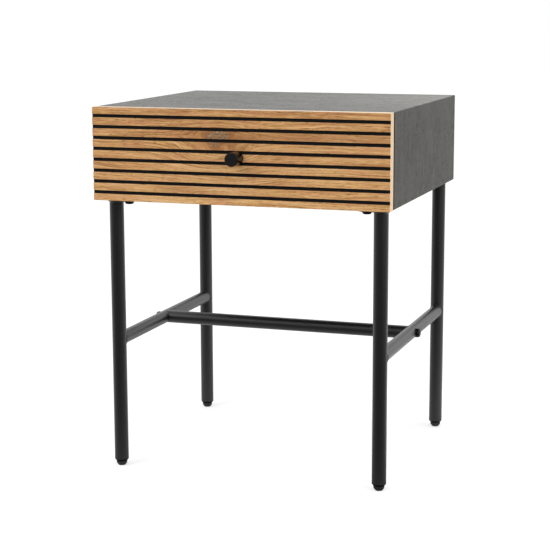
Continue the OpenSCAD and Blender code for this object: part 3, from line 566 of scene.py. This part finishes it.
def zinc(name, rolled, dark, light, rough):
    """Bright zinc plate with rolling lines. rolled(f) gives the place along and twice across."""
    f = Finish(name)
    along, across, third = rolled(f)
    rolling = f.noise(f.vector(along / 60, across / 0.5, third / 0.5), 3.0, 0.6)
    spangle = f.clouds((5, 9, 5), 3.0, 0.6)
    colour = f.mix(spangle, dark, light)
    colour = f.mix(rolling.ease(0.45, 0.8, 0.0, 0.3), colour, ZINC_ROLLED)
    return f.surface(colour, rough + rolling * 0.14 + spangle * 0.06, rolling, 0.01, metallic=1.0)


def polished_balls():
    f = Finish("polished_balls")
    film = f.clouds(2, 3.0)
    return f.surface(f.mix(film, BALL_DARK, BALL_LIGHT), 0.08 + film * 0.1, metallic=1.0)


def clear_rubber():
    f = Finish("clear_rubber")
    cloud = f.clouds(2)
    colour = f.mix(cloud, RUBBER_DARK, RUBBER_LIGHT)
    clear = {"Transmission Weight": 0.35, "IOR": 1.41}
    return f.surface(colour, 0.3 + cloud * 0.1, cloud, 0.02, **clear)


# ---- Finishes on the CAD's pieces ----

CASE_MIDDLE = (TOP_LOW.y + TOP_HIGH.y) / 2 / MM
# The grain runs from side to side on top and goes on down both sides: this is how far out the
# floor would be, if the sides were folded out level.
UNFOLDED = (HALF_WIDTH + TABLE_TOP) / MM
# The drawer box's boards: the axis that their layers are stacked along, and how many there are.
BOX_BOARDS = {
    "box_left_board": ("x", 9), "box_right_board": ("x", 9), "box_front_board": ("y", 9),
    "box_back_board": ("y", 9), "box_bottom": ("z", 3),
}


def from_middle(f):
    return f.y - CASE_MIDDLE


powder = powder_coat()
screw_zinc = zinc(
    "zinc_plated_steel", lambda f: (f.z, f.x, f.y), SCREW_DARK, SCREW_LIGHT, 0.28
)
by_slot = {
    "black_powder_coat": powder,
    "black_bolt_steel": black_oxide(),
    "black_plastic": moulded_plastic("black_moulded_plastic", PLASTIC_DARK, PLASTIC_LIGHT, 0.5),
    "zinc_runner": zinc(
        "zinc_runner_steel", lambda f: (f.y, f.z, f.x), RUNNER_DARK, RUNNER_LIGHT, 0.24
    ),
    "zinc_steel": screw_zinc,
    "ball_steel": polished_balls(),
    "beech": plain_beech(),
}
by_node = {
    "drawer_front": oak_front(),
    "top_panel": stained_oak("stained_oak_top", lambda f: f.x, from_middle, CASE_SEED),
    "right_side_panel": stained_oak(
        "stained_oak_right", lambda f: UNFOLDED - f.z, from_middle, CASE_SEED
    ),
    "left_side_panel": stained_oak(
        "stained_oak_left", lambda f: f.z - UNFOLDED, from_middle, CASE_SEED
    ),
    "bottom_panel": stained_oak("stained_oak_bottom", lambda f: f.x, from_middle, BOTTOM_SEED),
    "back_panel": fibreboard(),
    "knob": satin_black(),
    "buffer_pads": clear_rubber(),
    # The plugs' plastic is near black, darker than the feet's: painted shade on the collar at the
    # tube's end.
    "leg_end_plugs": moulded_plastic("dull_black_plastic", PLUG_SHADE_DARK, PLUG_SHADE_LIGHT, 0.05),
}
for board, (axis, layers) in BOX_BOARDS.items():
    lowest, highest = (corner["xyz".index(axis)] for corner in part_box(board))
    by_node[board] = birch_ply(f"birch_ply_{board}", axis, layers, lowest, highest)

slot_of = {part["node"]: part["material_slot"] for part in frame["record"]["subparts"]}
for name, piece in frame["nodes"].items():
    finish = by_node.get(name) or by_slot[slot_of[name]]
    for slot in piece.material_slots:
        slot.material = finish


# ---- Repeated pieces ----

# A weld bead: its ripples, with five steps of its line to each, the sides of its section, and
# the share of its width by which a ripple swells and shrinks it.
BEAD_RIPPLES, BEAD_STEPS, BEAD_SIDES, RIPPLE_SHARE = 46, 46 * 5, 10, 0.1
# A stud: the sides of its core, the steps in a turn of its ridge, and the sides of the ridge. The
# ridge ends this many pitches inside the stud's ends, and its radius is this share of its depth.
STUD_SIDES, TURN_STEPS, RIDGE_SIDES = 32, 24, 4
RIDGE_END, RIDGE_SHARE = 0.8, 0.98


class Pattern(Tree):
    """A Geometry Nodes tree with named sizes, turned into a plain mesh when it is laid."""

    def __init__(self, name, sizes):
        self.group = bpy.data.node_groups.new(name, "GeometryNodeTree")
        super().__init__(self.group)
        new_socket = self.group.interface.new_socket
        for size, value in sizes.items():
            made = new_socket(size, in_out="INPUT", socket_type="NodeSocketFloat")
            made.default_value = value
        new_socket("Piece", in_out="OUTPUT", socket_type="NodeSocketGeometry")
        self.given = self.node("NodeGroupInput")

    def size(self, name):
        return self.given.out(name)

    def circle(self, steps, radius):
        return self.node("GeometryNodeCurvePrimitiveCircle", {"mode": "RADIUS"}, {
            "Resolution": steps, "Radius": radius,
        })

    def moved(self, geometry, x, y, z):
        return self.node("GeometryNodeSetPosition", {}, {
            "Geometry": geometry, "Offset": self.vector(x, y, z),
        })

    def end(self, geometry, material):
        """Ends the tree in real geometry that wears the material."""
        real = self.node("GeometryNodeRealizeInstances", {}, {"Geometry": geometry})
        worn = self.node("GeometryNodeSetMaterial", {}, {"Geometry": real, "Material": material})
        self.node("NodeGroupOutput", {}, {"Piece": worn})

    def lay(self, name, **sizes):
        """Makes a piece from the tree with these sizes."""
        carrier = bpy.data.objects.new("carrier", bpy.data.meshes.new("carrier"))
        bpy.context.scene.collection.objects.link(carrier)
        modifier = carrier.modifiers.new("pattern", "NODES")
        modifier.node_group = self.group
        for item in self.group.interface.items_tree:
            if item.in_out == "INPUT" and item.name in sizes:
                modifier[item.identifier] = float(sizes[item.name])
        evaluated = carrier.evaluated_get(bpy.context.evaluated_depsgraph_get())
        mesh = bpy.data.meshes.new_from_object(evaluated)
        bpy.data.objects.remove(carrier)
        mesh.name = name
        piece = bpy.data.objects.new(name, mesh)
        bpy.context.scene.collection.objects.link(piece)
        return piece


def weld_pattern():
    """A rippled weld bead along the line where a rail's round meets a leg's."""
    p = Pattern("rail_weld_bead", {
        "leg_radius": 10.65 * MM, "rail_radius": 10 * MM, "bead_radius": 1.5 * MM,
        "ripples": BEAD_RIPPLES, "side": 1, "leg_x": 0, "leg_y": 0, "rail_z": 0,
    })
    ring = p.circle(BEAD_STEPS, p.size("rail_radius"))
    x, z, _ = p.split(p.node("GeometryNodeInputPosition"))
    reach = p.size("leg_radius")
    y = (reach * reach - x * x) ** 0.5
    line = p.node("GeometryNodeSetPosition", {}, {
        "Geometry": ring,
        "Position": p.vector(
            x + p.size("leg_x"), p.size("leg_y") + p.size("side") * y, z + p.size("rail_z")
        ),
    })
    turn = p.node("GeometryNodeSplineParameter") * p.size("ripples") * math.tau
    bead = p.node("GeometryNodeCurveToMesh", {}, {
        "Curve": line,
        "Profile Curve": p.circle(BEAD_SIDES, p.size("bead_radius")),
        "Scale": 1 + turn.math("SINE") * RIPPLE_SHARE,
    })
    p.end(p.node("GeometryNodeSetShadeSmooth", {}, {"Geometry": bead}), powder)
    return p


def thread_pattern():
    """A stud with its thread: a core, and a ridge that winds up round it."""
    p = Pattern("stud_thread", {
        "radius": 3 * MM, "pitch": 1 * MM, "depth": 0.32 * MM,
        "x": 0, "y": 0, "low_z": 0, "high_z": 0,
    })
    length = p.size("high_z") - p.size("low_z")
    core_radius = p.size("radius") - p.size("depth")
    core = p.node("GeometryNodeMeshCylinder", {"fill_type": "NGON"}, {
        "Vertices": STUD_SIDES, "Radius": core_radius, "Depth": length,
    })
    core = p.moved(core, 0.0, 0.0, length / 2)
    rise = length - p.size("pitch") * (2 * RIDGE_END)
    spiral = p.node("GeometryNodeCurveSpiral", {}, {
        "Resolution": TURN_STEPS, "Rotations": rise / p.size("pitch"),
        "Start Radius": core_radius, "End Radius": core_radius, "Height": rise,
    })
    ridge = p.node("GeometryNodeCurveToMesh", {}, {
        "Curve": p.moved(spiral, 0.0, 0.0, p.size("pitch") * RIDGE_END),
        "Fill Caps": True,
        "Profile Curve": p.circle(RIDGE_SIDES, p.size("depth") * RIDGE_SHARE),
    })
    both = p.node("GeometryNodeJoinGeometry", {}, {"Geometry": [ridge, core]})
    p.end(p.moved(both, p.size("x"), p.size("y"), p.size("low_z")), screw_zinc)
    return p


def midpoint(low, high):
    return (low + high) / 2


welds, threads = weld_pattern(), thread_pattern()
for side in ("left", "right"):
    for end, toward_rail in (("front", 1), ("back", -1)):
        leg = midpoint(*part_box(f"{end}_{side}_leg"))
        bead = welds.lay(
            f"{end}_{side}_rail_weld",
            side=toward_rail,
            leg_x=leg.x,
            leg_y=leg.y,
            rail_z=midpoint(*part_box(f"{side}_rail")).z,
        )
        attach(bead, "case")

        stud_low, stud_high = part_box(f"{end}_{side}_stud")
        stud_middle = midpoint(stud_low, stud_high)
        stud = threads.lay(
            f"{end}_{side}_threaded_stud",
            x=stud_middle.x,
            y=stud_middle.y,
            low_z=stud_low.z,
            high_z=stud_high.z,
        )
        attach(stud, f"{end}_{side}_leveller")
        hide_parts(f"{end}_{side}_stud")

# ---- Studio ----

WHITE, BLACK = (1, 1, 1, 1), (0, 0, 0, 1)
# The paper floor: its half width and its distance under the feet, its colours, and how fine its
# mottle is.
FLOOR_REACH, FLOOR_DROP = 12.0, 0.1 * MM
PAPER_DARK, PAPER_LIGHT, PAPER_MOTTLE = (0.83,) * 3 + (1,), (0.86,) * 3 + (1,), 300.0
# The room is white all round for the eye. It lights the table a little less than white would, and
# the floor gets a lift to white.
SKY_LIGHT, FLOOR_LIFT, MIRRORED_LIFT = 0.62, 0.52, 0.4
# In what the table mirrors, the room's near end is dark. It darkens between two distances that
# way on the floor, and between two directions on the wall, to that share.
NEAR_END = (0.32, -0.95)
DARK_FLOOR_FROM, DARK_FLOOR_TO, DARK_FLOOR = -0.2, 0.5, 0.9
DARK_WALL_FROM, DARK_WALL_TO, DARK_WALL = -0.4, 1.0, 0.6
TABLE_MIDDLE = (0.0, 0.0, 0.35)
UNDER_END_LAMP = (0.33, 0.12, 0.55)


class Room(Tree):
    """What a ray from the table or the eye finds at the floor or the wall."""

    def __init__(self, nodes):
        super().__init__(nodes)
        path = self.node("ShaderNodeLightPath", out="Is Camera Ray")
        self.seen = self.math("MAXIMUM", path, path.out("Is Transmission Ray"))
        self.mirrored = path.out("Is Glossy Ray")

    def dark(self, x, y, begin, end, share):
        """How dark the room's near end is to a mirroring ray, from 0 to that share."""
        nearness = x * NEAR_END[0] + y * NEAR_END[1]
        return self.mirrored * nearness.ease(begin, end, 0.0, share)


def studio_floor():
    """White paper to the eye, with the table's shadow on it, and clear from below."""
    paper = bpy.data.materials.new("studio_floor")
    paper.use_nodes = True
    r = Room(paper.node_tree)
    coords = r.node("ShaderNodeTexCoord", out="Object")
    x, y, _ = r.split(coords)
    mottle = r.node("ShaderNodeTexNoise", {}, {
        "Vector": coords, "Scale": PAPER_MOTTLE, "Detail": 3.0,
    })
    cloth = r.node("ShaderNodeBsdfDiffuse", {}, {"Color": r.mix(mottle, PAPER_DARK, PAPER_LIGHT)})
    lift = (r.seen + r.mirrored * MIRRORED_LIFT) * FLOOR_LIFT
    glow = r.node("ShaderNodeEmission", {}, {"Color": WHITE, "Strength": lift})
    lifted = r.node("ShaderNodeAddShader", {}, {0: cloth, 1: glow})
    shade = r.node("ShaderNodeEmission", {}, {"Color": BLACK, "Strength": 0.0})
    dark = r.dark(x, y, DARK_FLOOR_FROM, DARK_FLOOR_TO, DARK_FLOOR)
    above = r.node("ShaderNodeMixShader", {}, {0: dark, 1: lifted, 2: shade})
    from_below = r.node("ShaderNodeNewGeometry").out("Backfacing")
    clear = r.node("ShaderNodeBsdfTransparent")
    both = r.node("ShaderNodeMixShader", {}, {0: from_below, 1: above, 2: clear})
    r.node("ShaderNodeOutputMaterial", {}, {"Surface": both})
    return paper


floor_mesh = bpy.data.meshes.new("floor")
floor_mesh.from_pydata(
    [
        (x * FLOOR_REACH, y * FLOOR_REACH, -FLOOR_DROP)
        for x, y in ((-1, -1), (1, -1), (1, 1), (-1, 1))
    ],
    [],
    [(0, 1, 2, 3)],
)
floor_mesh.materials.append(studio_floor())
floor = bpy.data.objects.new("floor", floor_mesh)
bpy.context.scene.collection.objects.link(floor)


def softbox(name, place, aim, width, height, watts, spread=180.0):
    """A soft lamp that the camera doesn't see."""
    lamp = bpy.data.lights.new(name, "AREA")
    lamp.shape, lamp.size, lamp.size_y, lamp.energy = "RECTANGLE", width, height, watts
    lamp.spread = math.radians(spread)
    made = bpy.data.objects.new(name, lamp)
    made.location = place
    made.rotation_euler = (Vector(aim) - Vector(place)).to_track_quat("-Z", "Y").to_euler()
    made.visible_camera = False
    bpy.context.scene.collection.objects.link(made)
    return made


softbox("key_softbox", (-1.6, -2.2, 2.4), TABLE_MIDDLE, width=1.8, height=1.8, watts=25)
softbox("fill_softbox", (2.6, -1.2, 1.4), TABLE_MIDDLE, width=1.6, height=2.0, watts=16.5)
# A weaker lamp brightens the top's right end, and leaves no glare on it.
end_softbox = softbox(
    "end_softbox", (0.17, 0.14, 1.15), UNDER_END_LAMP, width=0.2, height=0.2, watts=1.2, spread=60.0
)
end_softbox.visible_glossy = False

world = bpy.data.worlds.new("studio_white")
world.use_nodes = True
bpy.context.scene.world = world
sky = Room(world.node_tree)
x, y, _ = sky.split(sky.node("ShaderNodeTexCoord", out="Generated"))
white = sky.math("MAXIMUM", sky.seen, sky.mirrored)
dark = sky.dark(x, y, DARK_WALL_FROM, DARK_WALL_TO, DARK_WALL)
strength = (SKY_LIGHT + white * (1 - SKY_LIGHT)) * (1 - dark)
sky.node("ShaderNodeOutputWorld", {}, {
    "Surface": sky.node("ShaderNodeBackground", {}, {"Color": WHITE, "Strength": strength}),
})

lens = bpy.data.cameras.new("camera")
lens.lens, lens.sensor_width = CAMERA_LENS, CAMERA_SENSOR
lens.clip_start, lens.clip_end = CAMERA_NEAREST, CAMERA_FARTHEST
camera = bpy.data.objects.new("camera", lens)
camera.matrix_world = (
    Matrix.Translation(CAMERA_PLACE)
    @ Matrix.Rotation(CAMERA_TURN, 4, "Z")
    @ Matrix.Rotation(math.pi / 2 - CAMERA_TILT, 4, "X")
    @ Matrix.Rotation(CAMERA_ROLL, 4, "Z")
)
bpy.context.scene.collection.objects.link(camera)
bpy.context.scene.camera = camera
bpy.context.scene.view_settings.view_transform = "Standard"
